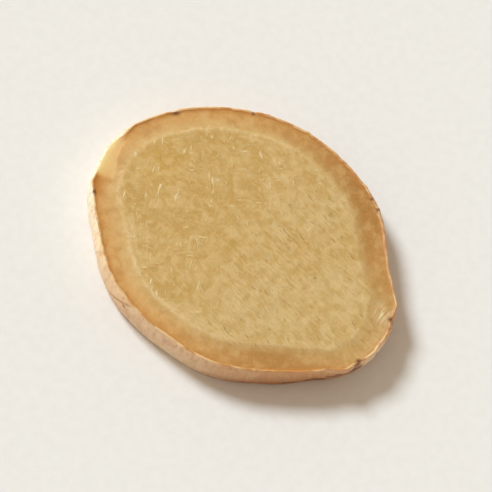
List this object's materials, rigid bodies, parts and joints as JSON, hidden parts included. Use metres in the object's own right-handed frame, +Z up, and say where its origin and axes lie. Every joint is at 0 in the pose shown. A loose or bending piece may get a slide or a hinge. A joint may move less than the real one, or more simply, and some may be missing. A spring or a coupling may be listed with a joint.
{
  "type": "ginger root slice",
  "caption": "Oval crosswise slice of fresh ginger root, with thin peel round its rim, an amber cortex band and a pale fibrous core, lying on its lower cut face.",
  "frame": {"origin": "centre of the slice's box, on the lower cut face", "axes": "+Z up, from the lower cut face to the upper one; +X along the slice's longest way across"},
  "size_m": [0.043, 0.035, 0.0045],
  "materials": {
    "ginger": "moist fibrous cut flesh, pale olive-yellow core inside an amber cortex, with a rim of thin matt tan peel"
  },
  "bodies": {
    "root": {"ginger_slice": "ginger"}
  },
  "joints": []
}
